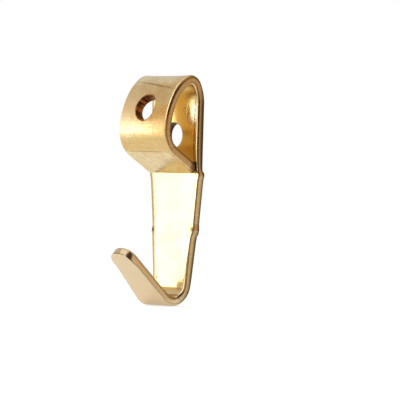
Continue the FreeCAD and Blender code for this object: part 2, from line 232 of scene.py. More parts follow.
def edge_profile(outer, inner):
    """Inset and level of each row of an edge, from the outer face round to the inner face."""
    rows = []
    for angle in np.linspace(0, math.pi / 2, OUTER_ROWS):
        rows.append((outer * (1 - math.sin(angle)), outer * (1 - math.cos(angle)) - THICK / 2))
    for angle in np.linspace(math.pi / 2, 0, INNER_ROWS):
        rows.append((inner * (1 - math.sin(angle)), THICK / 2 - inner * (1 - math.cos(angle))))
    return rows


print("Outer corners %.2f to %.2f mm" % (OUTER_ROUNDS[-1][1], OUTER_ROUNDS[0][1]))

# %% [markdown]
# The two faces come first. Each is a grid of rows across the strip, and a block
# of that grid stays open round each hole. Every face is also given a number that
# says how it was cut, so that the finish can tell plated faces, sheared edges and
# punched walls apart.

# %% Faces of the blank
HOLE_RADIUS = 1.9
BACK_HOLE_RISE = 10.3
FRONT_HOLE_RISE = 14.1
HOLE_BLOCK = 2.75
COLUMNS = 29
BORDER_COLUMN = 0.985
ROLLED, SHEARED, PUNCHED = 0.0, 0.5, 1.0
columns = np.append(np.linspace(-1, 1, COLUMNS), [-BORDER_COLUMN, BORDER_COLUMN])
columns = np.unique(columns)
blank_points, blank_faces, face_cuts = [], [], []


def add_grid(grid, skip=None, cut=ROLLED):
    """Add a grid of blank points, with four-sided faces between them."""
    first = sum(len(block) for block in blank_points)
    rows, cols = grid.shape[:2]
    blank_points.append(grid.reshape(-1, 3))
    for i in range(rows - 1):
        for j in range(cols - 1):
            if skip is not None and skip[i, j]:
                continue
            corner = first + i * cols + j
            blank_faces.append((corner, corner + 1, corner + cols + 1, corner + cols))
            face_cuts.append(cut)


def face_rows(inset, level):
    """A face of the blank as rows of points across the strip."""
    inner = edge_points + edge_inward * inset[:, None]
    across = inner[:, :1] * columns[None, :]
    grid = np.zeros(across.shape + (3,))
    grid[..., 0] = across
    grid[..., 1] = inner[:, 1:]
    grid[..., 2] = level
    return grid


def hole_block(grid, spot):
    """Row and column range of the grid block that a hole's ring replaces."""
    rows = np.where(np.abs(grid[:, 0, 1] - spot) < HOLE_BLOCK)[0]
    middle = grid[rows[len(rows) // 2], :, 0]
    cols = np.where(np.abs(middle) < HOLE_BLOCK)[0]
    return rows[0], rows[-1], cols[0], cols[-1]


in_front = along < starts["top"]
front_hole = float(np.interp(FRONT_HOLE_RISE, up[in_front], along[in_front]))
hole_spots = [front_hole, plate_at(BACK_HOLE_RISE)]
outer_face = face_rows(outer_round(edge_points[:, 1]), -THICK / 2)
inner_face = face_rows(inner_round(edge_points[:, 1]), THICK / 2)
blocks = [hole_block(outer_face, spot) for spot in hole_spots]
opened = np.zeros(outer_face.shape[:2], bool)
for top, bottom, left, right in blocks:
    opened[top:bottom, left:right] = True
add_grid(outer_face, opened)
add_grid(inner_face, opened)
print("Faces: %d rows of %d points" % outer_face.shape[:2])

# %% [markdown]
# A boolean modifier could punch the holes, but it leaves long thin faces that
# shade badly on polished metal. So each open block is filled by rings that go
# from its square border to the round rim, and a wall joins the two rims.

# %% Punched holes
HOLE_ROUND = 0.14
RING_SHARES = (0, 0.05, 0.2, 0.45, 0.72, 1)


def block_border(grid, block):
    """The points round a block of a grid, ending where they start."""
    top, bottom, left, right = block
    loop = np.concatenate([grid[top, left:right], grid[top:bottom, right],
                           grid[bottom, right:left:-1], grid[bottom:top:-1, left]])
    return np.concatenate([loop, loop[:1]])


def ring(angle, spot, radius, level):
    """A ring of blank points round a hole's middle."""
    across, on = radius * np.cos(angle), spot + radius * np.sin(angle)
    return np.stack([across, on, np.full_like(angle, level)], 1)


for spot, block in zip(hole_spots, blocks):
    border = block_border(outer_face, block)
    angle = np.unwrap(np.arctan2(border[:, 1] - spot, border[:, 0]))
    wall = [ring(angle, spot, HOLE_RADIUS + inset, level)
            for inset, level in edge_profile(HOLE_ROUND, HOLE_ROUND / 2)]
    add_grid(np.array(wall), cut=PUNCHED)
    for face, rim in ((outer_face, wall[0]), (inner_face, wall[-1])):
        border = block_border(face, block)
        add_grid(np.array([rim + (border - rim) * share for share in RING_SHARES]))
print("Hole middles along the strip: %.2f and %.2f mm" % tuple(hole_spots))

# %% [markdown]
# Last comes the sheared edge, in one band up the right side, round the tip and
# down the left side, and then the cut across the strip's free end.

# %% Sheared edges
tip_line = columns[::-1][1:-1] * edge_points[-1, 0]
mirror = np.array([-1, 1])
chain = np.concatenate([edge_points, np.stack([tip_line, np.full_like(tip_line, strip_end)], 1),
                        (edge_points * mirror)[::-1]])
chain_inward = np.concatenate([edge_inward, np.tile([0.0, -1.0], (len(tip_line), 1)),
                               (edge_inward * mirror)[::-1]])
rim_rows = [np.column_stack([chain + chain_inward * inset[:, None], level])
            for inset, level in edge_profile(outer_round(chain[:, 1]), inner_round(chain[:, 1]))]
add_grid(np.array(rim_rows), cut=SHEARED)
add_grid(np.array([outer_face[0], inner_face[0]]), cut=SHEARED)
print("Blank: %d points, %d faces" % (sum(map(len, blank_points)), len(blank_faces)))

# %% [markdown]
# ## Stamp and fold
# Two functions shape the flat points. The stamp presses a panel back, and the
# metal swells sideways where it gives way, most of all at the ends of the pad.
# It also crowns the inside of the plate a little. The fold then carries a point
# along the path: its distance along the strip picks a place and a heading, and
# its depth moves it square to the sheet. Steps in the sheet are never quite
# sharp, so every change is drawn by one soft step.

# %% Stamp the panel
PAD_SOFT = 0.16
PANEL_SOFT = 2.4
EDGE_SOFT = 0.5
# The panel's lower step gets crisp at this share of the half width.
CRISP_SHARE, CRISP_FADE = 0.9, 0.07
PANEL_HEAD = 6.4
SPREAD = 0.12
SPREAD_INSET = 0.3
SPREAD_SOFT = 0.5
EAR = 0.18
# Height and length of each pair of ears, and the left ear's share of the right one.
EARS = [(PAD_HALF - 0.4, 0.6, 1.0), (-PAD_HALF + 0.5, 0.8, 0.2)]
CROWN = 0.13
BORDER_RISE = 0.04
CROWN_START = starts["nape"] + 1.0
CROWN_FOOT = 7.0
CROWN_SOFT = 1.5


def soft_step(s, place, soft):
    """Rises from 0 to 1 at a place along the strip, over twice the softness."""
    share = np.clip((s - place) / soft / 2 + 0.5, 0, 1)
    return share * share * (3 - 2 * share)


def soft_box(s, first, last, soft):
    """1 between two distances along the strip, with rounded steps at both."""
    return soft_step(s, first, soft) * (1 - soft_step(s, last, soft))


def stamp(s, across, through):
    """Press the panel back, and let the metal swell sideways as it gives way."""
    sideways = across / half_width(s)
    depth = through / THICK + 0.5
    pad = soft_box(s, plate_at(PAD_HALF), plate_at(-PAD_HALF), PAD_SOFT)
    crisp = soft_step(np.abs(sideways), CRISP_SHARE, CRISP_FADE)
    lower_soft = PANEL_SOFT + (EDGE_SOFT - PANEL_SOFT) * crisp
    panel = soft_step(s, plate_at(PANEL_HEAD), PANEL_SOFT)
    panel = panel * (1 - soft_step(s, plate_at(-PANEL_HALF), lower_soft))
    pressed = through - PANEL_SET * (pad * (1 - depth) + panel * depth)
    crowned = soft_box(s, CROWN_START, plate_at(CROWN_FOOT), CROWN_SOFT)
    pressed = pressed + (BORDER_RISE + CROWN * (1 - sideways ** 2)) * depth * crowned
    spread_half = PAD_HALF - SPREAD_INSET
    swell = SPREAD * soft_box(s, plate_at(spread_half), plate_at(-spread_half), SPREAD_SOFT)
    for height, length, left in EARS:
        side = np.where(across > 0, 1.0, left)
        swell = swell + EAR * side * np.exp(-((s - plate_at(height)) / length) ** 2)
    return across + swell * sideways ** 3, pressed


print("Panel pressed back %.2f mm, sides swell up to %.2f mm" % (PANEL_SET, SPREAD + EAR))

# %% Fold along the path
END_TRIM = 0.27
CURL = 0.2
LEFT_CURL = 0.6
CURL_START, CURL_END, CURL_SOFT = starts["top"] + 0.9, starts["top"] + 2.8, 0.8
CURL_POWER = 5


def fold(points):
    """Carry blank points (across, along, through) to the folded strip, in metres."""
    across, s, through = points.T
    # The free end is cut upright, beside the plate, and not square to the sheet.
    slant = END_TRIM + through * math.tan(math.radians(flat_heading))
    s = s + slant * np.clip(1 - s / starts["foot"], 0, 1)
    # The tightest bend makes the borders of the sheet curl outward.
    tight = soft_box(s, CURL_START, CURL_END, CURL_SOFT)
    side = np.where(across > 0, 1.0, LEFT_CURL)
    curl = CURL * tight * np.abs(across / half_width(s)) ** CURL_POWER * side
    across, through = stamp(s, across, through)
    through = through - curl
    turn = np.interp(s, along, heading)
    before = np.minimum(s, 0.0)
    fore = np.interp(s, along, forward) + before * np.cos(turn) - through * np.sin(turn)
    rise = np.interp(s, along, up) + before * np.sin(turn) + through * np.cos(turn)
    return np.stack([across, -fore, rise], 1) * MM


tip_spot = fold(np.array([[0.0, strip_end, 0.0]]))[0] / MM
print("The tip folds to", [round(float(c), 2) for c in tip_spot], "mm")

# %% [markdown]
# ## One mesh
# Now the grids become one mesh and their shared borders are welded. Each point
# keeps its place on the blank as an attribute, and the rounding of the inner
# corner beside it, so the finish can follow the sheet round its bends later. Only
# then are the points moved to the folded shape.

# %% Weld the blank
WELD = 0.0005
blank = np.concatenate(blank_points)
strip_mesh = bpy.data.meshes.new("folded_strip")
strip_mesh.from_pydata(blank.tolist(), [], blank_faces)
cut_kind = strip_mesh.attributes.new("sheared", "FLOAT", "FACE")
cut_kind.data.foreach_set("value", np.array(face_cuts, np.float32))

work = bmesh.new()
work.from_mesh(strip_mesh)
bmesh.ops.remove_doubles(work, verts=work.verts, dist=WELD)
unused = [v for v in work.verts if not v.link_faces]
bmesh.ops.delete(work, geom=unused, context="VERTS")
open_edges = [e for e in work.edges if e.is_boundary]
bmesh.ops.holes_fill(work, edges=open_edges, sides=0)
bmesh.ops.recalc_face_normals(work, faces=work.faces)
# Folding mirrors the blank's axes, so the faces are wound the other way first.
bmesh.ops.reverse_faces(work, faces=work.faces)
print("Open edges left:", sum(e.is_boundary for e in work.edges))
work.to_mesh(strip_mesh)
work.free()

# %% Fold the mesh
SHARP_TURN = 42
count = len(strip_mesh.vertices)
flat_points = np.zeros(count * 3)
strip_mesh.vertices.foreach_get("co", flat_points)
flat_points = flat_points.reshape(-1, 3)
flat_place = strip_mesh.attributes.new("blank", "FLOAT_VECTOR", "POINT")
flat_place.data.foreach_set("vector", flat_points.astype(np.float32).ravel())
corner_size = strip_mesh.attributes.new("corner", "FLOAT", "POINT")
corner_size.data.foreach_set("value", inner_round(flat_points[:, 1]).astype(np.float32))
strip_mesh.vertices.foreach_set("co", fold(flat_points).astype(np.float32).ravel())
strip_mesh.update()
strip_mesh.shade_smooth()
strip_mesh.set_sharp_from_angle(angle=math.radians(SHARP_TURN))

strip = bpy.data.objects.new("folded_strip", strip_mesh)
bpy.context.scene.collection.objects.link(strip)
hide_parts("picture_hook")
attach(strip, "root")
print("Folded strip: %d points, %d faces" % (count, len(strip_mesh.polygons)))

# %% [markdown]
# ## Brass plating
# The steel is tumbled bright and then plated with a few microns of brass. Metal
# has no colour of its own apart from what it reflects, so the colour sits in the
# base colour of a metallic shader, and the deeper golds inside the eye come from
# light that bounces twice, with more deep gold painted inside as painted bounced
# light. To the eye that gives a clear mirror on the flats, long soft bands on the
# bends, and brown lines along the edges, which are painted dark reflections. Two
# small helpers are enough: one for colours, and one for nodes of every kind.

# %% Node helpers


def linear(code):
    """Turn an sRGB hex colour into the linear values that a shader needs."""
    parts = [int(code[i:i + 2], 16) / 255 for i in (1, 3, 5)]
    return [c / 12.92 if c <= 0.04045 else ((c + 0.055) / 1.055) ** 2.4 for c in parts] + [1.0]


def add_node(tree, kind, inputs=None, **settings):
    """Add a shader node, set its settings, and give each named input a value or a link."""
    made = tree.nodes.new("ShaderNode" + kind)
    for name, value in settings.items():
        setattr(made, name, value)
    for name, value in (inputs or {}).items():
        if isinstance(value, bpy.types.NodeSocket):
            tree.links.new(value, made.inputs[name])
        else:
            made.inputs[name].default_value = value
    return made


def new_material(name):
    """An empty material and its node tree."""
    material = bpy.data.materials.new(name)
    material.use_nodes = True
    material.node_tree.nodes.clear()
    return material, material.node_tree


print("Brass base colour:", [round(c, 2) for c in linear("#F4E0AE")[:3]])

# %% [markdown]
# ### Patterns in millimetres
# Every pattern reads the flat positions kept on the mesh, so its size is a size on
# the sheet. Real tumbling marks are some hundredths of a millimetre wide, too fine
# to show at this distance, so the grain and the hair lines are drawn coarser. The
# masks that follow all go into one dictionary, by name.

# %% Noise patterns
# Pattern size in mm, detail and roughness.
NOISES = {"cloud": (3.571, 4.0, 0.5), "patch": (1.333, 6.0, 0.65), "spots": (0.5263, 3.0, 0.5),
          "rag": (0.3846, 5.0, 0.5), "grain": (0.3125, 3.0, 0.5)}
# Size across, along and through the sheet in mm, and detail: long hair lines lie
# across the strip, and shear streaks run through its thickness.
STRETCHED = {"hair": ((8.333, 0.2222, 10.0), 4.0), "streak": ((0.3333, 0.3333, 2.0), 3.0)}

brass, tree = new_material("brass_plating")
sheet_place = add_node(tree, "Attribute", attribute_name="blank").outputs["Vector"]
cut_share = add_node(tree, "Attribute", attribute_name="sheared").outputs["Fac"]
corner = add_node(tree, "Attribute", attribute_name="corner").outputs["Fac"]
split_place = add_node(tree, "SeparateXYZ", {0: sheet_place})
across_sheet, along_sheet, level = [split_place.outputs[axis] for axis in "XYZ"]
mask = {}
for name, (size, detail, roughness) in NOISES.items():
    look = {"Vector": sheet_place, "Scale": 1 / size, "Detail": detail, "Roughness": roughness}
    mask[name] = add_node(tree, "TexNoise", look).outputs["Fac"]
for name, (sizes, detail) in STRETCHED.items():
    counts = [1 / size for size in sizes]
    place = add_node(tree, "VectorMath", {0: sheet_place, 1: counts}, operation="MULTIPLY")
    look = {"Vector": place.outputs[0], "Scale": 1.0, "Detail": detail}
    mask[name] = add_node(tree, "TexNoise", look).outputs["Fac"]
print("Patterns:", ", ".join(mask))

# %% [markdown]
# ### Where things happen
# Zones are ramps along the strip, such as the arm or the outside of the eye. Ranges
# turn a pattern, or the number that says how a face was cut, into a mask from 0 to
# 1 by picking the part of it that counts.

# %% Zones along the strip
# Distance along the strip where a zone starts and where it is full, and its strength.
ZONES = {"arm": (starts["hook"] + 1.0, starts["hook"] + 3.0, 0.7),
         "eye": (starts["plate"] + 2.0, starts["plate"] - 1.0, 1.0),
         "past_flat": (starts["foot"] + 0.8, starts["foot"] + 1.2, 1.0),
         "below_brow": (starts["front"] + 0.6, starts["front"] - 1.4, 1.0),
         "lower_eye": (starts["brow"] - 3.0, starts["front"], 1.0),
         "above_panel": (plate_at(4.6), plate_at(7.0), 1.0),
         "back_hole_dark": (starts["plate"] - 1.0, starts["plate"] + 1.0, 0.75),
         "narrow": (plate_at(6.0), plate_at(4.0), 0.3),
         "behind": (starts["plate"] - 2.5, starts["plate"], 1.0),
         "above_hook": (starts["hook"] + 3.2, starts["hook"] + 1.0, 1.0),
         "tip": (strip_end - 3.0, strip_end - 1.8, 1.0)}
for name, (start, full, strength) in ZONES.items():
    reach = {"Value": along_sheet, "From Min": start, "From Max": full, "To Max": strength}
    mask[name] = add_node(tree, "MapRange", reach).outputs["Result"]
print("Zones:", ", ".join(ZONES))

# %% Ranges of the patterns
depth = add_node(tree, "Math", {0: level}, operation="ABSOLUTE").outputs[0]
# Source, the values that give the least and the most, and those two.
RANGES = {"cloudy": (mask["cloud"], 0.3, 0.7, 0.0, 1.0),
          "patches": (mask["patch"], 0.44, 0.6, 0.0, 0.75),
          "hair_gold": (mask["hair"], 0.35, 0.6, 0.35, 0.9),
          "specks": (mask["spots"], 0.5, 0.68, 0.0, 0.3),
          "streaky": (mask["streak"], 0.38, 0.62, 0.0, 1.0),
          "broken": (mask["rag"], 0.35, 0.62, 1.0, 0.8),
          "on_face": (cut_share, 0.4, 0.1, 0.0, 1.0),
          "cut": (cut_share, 0.1, 0.5, 0.0, 1.0),
          "punched": (cut_share, 0.6, 1.0, 0.0, 1.0),
          "not_punched": (cut_share, 0.9, 0.6, 0.0, 1.0),
          "between_corners": (depth, 0.62, 0.5, 0.0, 1.0)}
for name, (source, low, high, least, most) in RANGES.items():
    span = {"Value": source, "From Min": low, "From Max": high, "To Min": least, "To Max": most}
    mask[name] = add_node(tree, "MapRange", span).outputs["Result"]
print("Ranges:", ", ".join(RANGES))

# %% [markdown]
# ### Marks and painted shade on the sheet
# Each mark is a soft oval at a place on the blank: rubbed lines where the press
# tool slid over the bends, dull and hazy places, painted shade where the free end
# meets the plate and in the crevice at the end, a painted reflection of the bend
# on the shank, and a painted highlight on the plate's inner border. A painted
# image could hold them, but ovals stay sharp at any distance and move with the
# sheet. Noise breaks up their outlines.

# %% Places of the marks and painted shade
INNER, OUTER, BOTH = 1, -1, 0
# Name, middle across and along, half size across and along, skew, side, strength.
MARKS_AND_SHADE = [("top_crease", 0.0, starts["brow"] + 1.95, 5.4, 0.24, 0.158, OUTER, 0.55),
         ("flat_crease", 0.0, starts["foot"] + 0.9, 4.6, 0.11, 0.0, OUTER, 0.5),
         ("plate_scuff", 3.0, plate_at(13.6), 0.35, 1.4, 0.0, INNER, 0.75),
         ("bend_scuff", -1.2, starts["hook"] + 1.5, 1.2, 0.4, 0.0, INNER, 0.9),
         ("bend_rub", 1.6, starts["hook"] + 2.6, 2.2, 0.3, 0.0, INNER, 0.9),
         # A painted reflection of the bend on the shank's lower right.
         ("bend_reflection", 2.4, starts["hook"] + 0.1, 0.9, 1.1, 0.0, INNER, 0.55),
         ("shank_spot", -2.6, starts["hook"] - 1.1, 0.35, 0.2, 0.0, INNER, 0.75),
         ("plate_line", 4.42, plate_at(9.5), 0.16, 8.0, 0.0, INNER, 0.75),
         # Painted shade on the plate where the free end closes on it.
         ("gap_shade", 4.6, plate_at(5.7), 0.34, 0.8, 0.0, INNER, 0.95),
         # Painted shade in the crevice at the free end.
         ("end_crevice_shade", 5.0, 0.2, 0.7, 0.9, 0.0, BOTH, 0.9)]
OVALS = {"marks_and_painted_shade": MARKS_AND_SHADE,
         "dull": [("front_right", 4.2, starts["front"] + 0.4, 3.6, 2.0, 0.0, OUTER, 1.0),
                  ("top_right", 5.0, starts["top"] + 0.4, 2.6, 1.6, 0.0, OUTER, 0.8)],
         "hazy": [("front_left", -4.0, starts["front"] + 2.8, 4.6, 5.0, 0.0, OUTER, 1.0)],
         # A painted highlight on the plate's inner right border.
         "bright": [("plate_highlight", 4.5, plate_at(13.8), 1.1, 2.6, 0.0, INNER, 0.8)]}
print("Marks on the sheet:", ", ".join(row[0] for row in MARKS_AND_SHADE))

# %% Soft ovals
RAGGEDNESS = 1.5
OVAL_END, OVAL_FULL = 1.9, 1.0


def oval_mask(across, s, half_across, half_along, skew, side, strength):
    """A ragged grey mask of one soft oval on the sheet."""
    offset = add_node(tree, "VectorMath", {0: sheet_place, 1: (across, s, 0.0)},
                      operation="SUBTRACT")
    turned = add_node(tree, "VectorRotate", {"Vector": offset.outputs[0], "Angle": math.atan(skew)},
                      rotation_type="Z_AXIS")
    sizes = (1 / half_across, 1 / half_along, 0.0)
    scaled = add_node(tree, "VectorMath", {0: turned.outputs[0], 1: sizes}, operation="MULTIPLY")
    reach = add_node(tree, "VectorMath", {0: scaled.outputs[0]}, operation="LENGTH")
    ragged = add_node(tree, "Math", {0: mask["rag"], 1: RAGGEDNESS, 2: reach.outputs["Value"]},
                      operation="MULTIPLY_ADD")
    span = {"Value": ragged.outputs[0], "From Min": OVAL_END, "From Max": OVAL_FULL,
            "To Max": strength}
    oval = add_node(tree, "MapRange", span, interpolation_type="SMOOTHSTEP").outputs[0]
    if side == BOTH:
        return oval
    facing = add_node(tree, "Math", {0: level, 1: side}, operation="MULTIPLY").outputs[0]
    facing = add_node(tree, "Math", {0: facing, 1: 0.0}, operation="GREATER_THAN").outputs[0]
    return add_node(tree, "Math", {0: oval, 1: facing}, operation="MULTIPLY").outputs[0]


for kind, table in OVALS.items():
    for name, *oval in table:
        made = oval_mask(*oval)
        if kind in mask:
            made = add_node(tree, "Math", {0: mask[kind], 1: made}, operation="MAXIMUM").outputs[0]
        mask[kind] = made
print("Ovals:", sum(len(table) for table in OVALS.values()))

# %% [markdown]
# ### Painted dark back corner, darker border and painted dark lines
# The back corner of the cut edge on the plate and shank is painted dark, a painted
# dark reflection. The inner face is darker along its left border. And where the
# rounded corners meet the cut edge, thin brown lines are painted as dark
# reflections, strong on the plate and faint elsewhere.

# %% Painted dark back corner and darker left border
INNER_LEVEL = 0.3
CORNER_LEVEL = 0.42
BACK_CORNER_END, BACK_CORNER_FULL = 0.45, -0.25
BORDER_DARK_END, BORDER_DARK_FULL = 1.05, 0.4
BORDER_RAGGEDNESS = 0.3
BORDER_DARK_STRENGTH = 0.8
# The back corner of the cut edge on the plate and shank is painted dark, a painted dark reflection.
back_corner = add_node(tree, "Math", {0: level, 1: mask["narrow"]}, operation="ADD").outputs[0]
span = {"Value": back_corner, "From Min": BACK_CORNER_END, "From Max": BACK_CORNER_FULL}
mask["back_corner"] = add_node(tree, "MapRange", span, interpolation_type="SMOOTHSTEP").outputs[0]

# The inner face is made darker along its left border.
span = {"Value": along_sheet, "From Min": taper_start, "From Max": strip_end,
        "To Min": HALF_WIDTH, "To Max": float(half_width(strip_end))}
edge_at = add_node(tree, "MapRange", span).outputs["Result"]
border = add_node(tree, "Math", {0: edge_at, 1: across_sheet}, operation="ADD").outputs[0]
left_border_band = add_node(tree, "Math", {0: mask["rag"], 1: BORDER_RAGGEDNESS, 2: border},
                  operation="MULTIPLY_ADD")
span = {"Value": left_border_band.outputs[0], "From Min": BORDER_DARK_END, "From Max": BORDER_DARK_FULL,
        "To Max": BORDER_DARK_STRENGTH}
mask["left_border_band"] = add_node(tree, "MapRange", span, interpolation_type="SMOOTHSTEP").outputs[0]
for name, height in (("inner_part", INNER_LEVEL), ("inner_skin", CORNER_LEVEL)):
    above = add_node(tree, "Math", {0: level, 1: height}, operation="GREATER_THAN")
    mask[name] = above.outputs[0]
print("Border runs from %.2f to %.2f mm" % (HALF_WIDTH, half_width(strip_end)))

# %% Painted dark reflection lines
# Distance along the strip, and the strength of the outer and the inner line there.
LINE_RUNS = [(starts["foot"], 0.25, 0.3), (starts["front"], 0.9, 0.3), (starts["top"], 0.9, 0.3),
             (starts["plate"], 0.3, 1.0), (starts["hook"] + 4.0, 0.3, 0.7),
             (starts["arm"] + 0.8, 0.35, 0.3), (strip_end, 0.45, 0.2)]
# Column of that table, level and half width in mm, and what shifts the line by how much.
LINES = [(1, -0.36, 0.13, mask["tip"], -0.22), (2, 0.76, 0.17, corner, -1.0)]
# Shares of a line's half width between which it fades.
LINE_END, LINE_FULL = 1.25, 0.75
share = add_node(tree, "Math", {0: along_sheet, 1: strip_end}, operation="DIVIDE").outputs[0]
bands = []
for column, place, half, shifter, shift in LINES:
    shifted = add_node(tree, "Math", {0: shifter, 1: shift, 2: place}, operation="MULTIPLY_ADD")
    apart = add_node(tree, "Math", {0: level, 1: shifted.outputs[0]}, operation="SUBTRACT")
    apart = add_node(tree, "Math", {0: apart.outputs[0]}, operation="ABSOLUTE").outputs[0]
    span = {"Value": apart, "From Min": half * LINE_END, "From Max": half * LINE_FULL}
    band = add_node(tree, "MapRange", span, interpolation_type="SMOOTHSTEP").outputs["Result"]
    ramp = add_node(tree, "ValToRGB", {"Fac": share})
    stops = ramp.color_ramp.elements
    for index, row in enumerate(LINE_RUNS):
        stop = stops[index] if index < 2 else stops.new(1.0)
        stop.position = row[0] / strip_end
        stop.color = [row[column]] * 3 + [1.0]
    strength = ramp.outputs["Color"]
    bands.append(add_node(tree, "Math", {0: band, 1: strength}, operation="MULTIPLY").outputs[0])
mask["lines"] = add_node(tree, "Math", {0: bands[0], 1: bands[1]}, operation="MAXIMUM").outputs[0]
print("Painted dark lines at %.2f mm and up to %.2f mm" % (LINES[0][1], LINES[1][1]))

# %% [markdown]
# ### Colour, layer by layer
# Some masks only count together with others, so those are multiplied first. Then
# each coat is a stack of colours, laid one over the other like paint, each through
# its own mask: cut edges are a dull olive tan with streaks, hole walls a burnt
# brown, and the plated sheet uses both of those where it was cut.

# %% Masks that count together
# Masks to multiply, and numbers that weaken them.
TOGETHER = {"patchy": ("patches", "eye"),
            # Hair lines on the foot of the eye, tinted a deeper gold that is a painted reflection.
            "hair_lines_painted_gold": ("hair_gold", "past_flat", "below_brow"),
            "specked": ("specks", "eye"),
            # A deeper gold painted inside the eye, painted bounced light.
            "inside": ("inner_part", "above_panel", "on_face"),
            # A painted highlight on the plate's inner right border.
            "painted_highlight": ("bright", "on_face"),
            "bare": ("between_corners", "cut"),
            "dark_back_corner": ("back_corner", "behind", "above_hook", "cut", 0.85),
            "dark_left_border": ("left_border_band", "inner_skin"),
            "dark_reflection_lines": ("lines", "broken", "not_punched", "cut"),
            "paler": ("hazy", 0.55, "on_face"),
            "duller": ("dull", 0.5),
            "ridges": ("hair", "lower_eye")}
for name, (first, *others) in TOGETHER.items():
    joined = mask[first]
    for other in others:
        factor = mask[other] if other in mask else other
        joined = add_node(tree, "Math", {0: joined, 1: factor}, operation="MULTIPLY").outputs[0]
    mask[name] = joined
print("Joined masks:", len(TOGETHER))

# %% Coats of colour
# The first colour of a coat lies under the others, each with its mask and colour or coat.
# The arm layers paint the arm paler, a painted reflection of the pale floor.
COATS = {"cut_edge": ["#BC8F52", ("streak", "#E6C894"), ("arm", "#F6DEB6")],
         # The wall of the back plate's hole is darker.
         "hole_wall": ["#5A2E12", ("streaky", "#B4753C"), ("back_hole_dark", "#2E1308")],
         "plated": ["#F4E0AE", ("cloudy", "#EED59A"), ("arm", "#F0DBBB"), ("patchy", "#EAC58E"),
                    ("hair_lines_painted_gold", "#E4BE76"), ("specked", "#CF9F58"), ("inside", "#E9C478"),
                    ("painted_highlight", "#FBEFD6"), ("bare", "cut_edge"), ("punched", "hole_wall"),
                    # The next three layers are the painted dark back corner, the darker left border
                    # and the painted dark reflection lines.
                    ("dark_back_corner", "#3A2212"), ("dark_left_border", "#4A3820"),
                    ("dark_reflection_lines", "#281206"), ("paler", "#F8EACB"), ("duller", "#CB9654"),
                    # Real marks and painted shade share this colour.
                    ("marks_and_painted_shade", "#6B4423")]}
coats = {}
for coat, (ground, *layers) in COATS.items():
    tone = linear(ground)
    for name, paint in layers:
        paint = coats[paint] if paint in coats else linear(paint)
        laid = add_node(tree, "Mix", {"Factor": mask[name], 6: tone, 7: paint}, data_type="RGBA")
        tone = laid.outputs[2]
    coats[coat] = tone
print("Layers on the plated sheet:", len(COATS["plated"]))

# %% [markdown]
# ### Gloss and relief
# Tumbled plating is nearly a mirror, so the roughness starts near a tenth and grows
# on cut edges, marks and hazy places. The bump goes from slow waves in the sheet
# down to its fine grain, hair lines across the foot of the eye, and pits in the
# marks.

# %% Plated finish
SMOOTH, UNEVEN = 0.1, 0.18
ROUGHER = {"cut": 0.06, "marks_and_painted_shade": 0.2, "dull": 0.24, "hazy": 0.24, "punched": 0.25, "inside": 0.06}
# Mask, strength, depth in mm, and whether it goes inward.
RELIEF = [("cloud", 0.25, 0.1, False), ("grain", 0.1, 0.03, False), ("ridges", 0.6, 0.03, False),
          ("marks_and_painted_shade", 0.3, 0.05, True)]
span = {"Value": mask["cloud"], "To Min": SMOOTH, "To Max": UNEVEN}
haze = add_node(tree, "MapRange", span).outputs["Result"]
for name, more in ROUGHER.items():
    rougher = add_node(tree, "Math", {0: mask[name], 1: more, 2: haze}, operation="MULTIPLY_ADD")
    haze = rougher.outputs[0]
surface = {}
for name, strength, deep, inward in RELIEF:
    height = {"Height": mask[name], "Strength": strength, "Distance": deep * MM, **surface}
    surface = {"Normal": add_node(tree, "Bump", height, invert=inward).outputs["Normal"]}
finish = {"Base Color": coats["plated"], "Metallic": 1.0, "Roughness": haze, **surface}
shader = add_node(tree, "BsdfPrincipled", finish)
add_node(tree, "OutputMaterial", {"Surface": shader.outputs["BSDF"]})
strip_mesh.materials.append(brass)
print("Finish:", brass.name, "with", len(tree.nodes), "nodes")

# %% [markdown]
# ## Floor and room
# Polished metal shows the room more than itself, so the room is built for it. The
# world is white to the camera and in reflections, and a little dimmer as a light.
# The floor is white paper: matt, so it takes a soft shadow, with a glow that
# brings it up to the white background. In reflections the paper's glow is a
# painted pool of light under the softbox at the front left, dimmer elsewhere.

# %% White room
WORLD_LIGHT = 0.75
scene = bpy.context.scene
scene.view_settings.view_transform = "Standard"
world = bpy.data.worlds.new("white_room")
scene.world = world
world.use_nodes = True
sky = world.node_tree
sky.nodes.clear()
path = add_node(sky, "LightPath")
seen = path.outputs["Is Camera Ray"]
for ray in ("Is Glossy Ray", "Is Transmission Ray"):
    seen = add_node(sky, "Math", {0: seen, 1: path.outputs[ray]}, operation="MAXIMUM").outputs[0]
strength = add_node(sky, "MapRange", {"Value": seen, "To Min": WORLD_LIGHT, "To Max": 1.0})
glow = add_node(sky, "Background", {"Color": linear("#FFFFFF"), "Strength": strength.outputs[0]})
add_node(sky, "OutputWorld", {"Surface": glow.outputs["Background"]})
print("World:", world.name)

# %% Paper floor
FLOOR_DROP = 0.05
FLOOR_REACH = 3.0
PAPER_GLOW = 0.6
DIM_PAPER, LIT_PAPER = 0.36, 1.9
SHADE_END, LIT_FROM = 0.08, 0.45
FRONT_LEFT = (-0.707, -0.707, 0.0)
floor_level = cad_box[0].z - FLOOR_DROP * MM
corners = [(-FLOOR_REACH, -FLOOR_REACH), (FLOOR_REACH, -FLOOR_REACH),
           (FLOOR_REACH, FLOOR_REACH), (-FLOOR_REACH, FLOOR_REACH)]
floor_mesh = bpy.data.meshes.new("floor")
floor_mesh.from_pydata([(x, y, floor_level) for x, y in corners], [], [(0, 1, 2, 3)])
floor = bpy.data.objects.new("floor", floor_mesh)
scene.collection.objects.link(floor)

paper, sheet = new_material("white_paper")
seen = add_node(sheet, "LightPath").outputs["Is Camera Ray"]
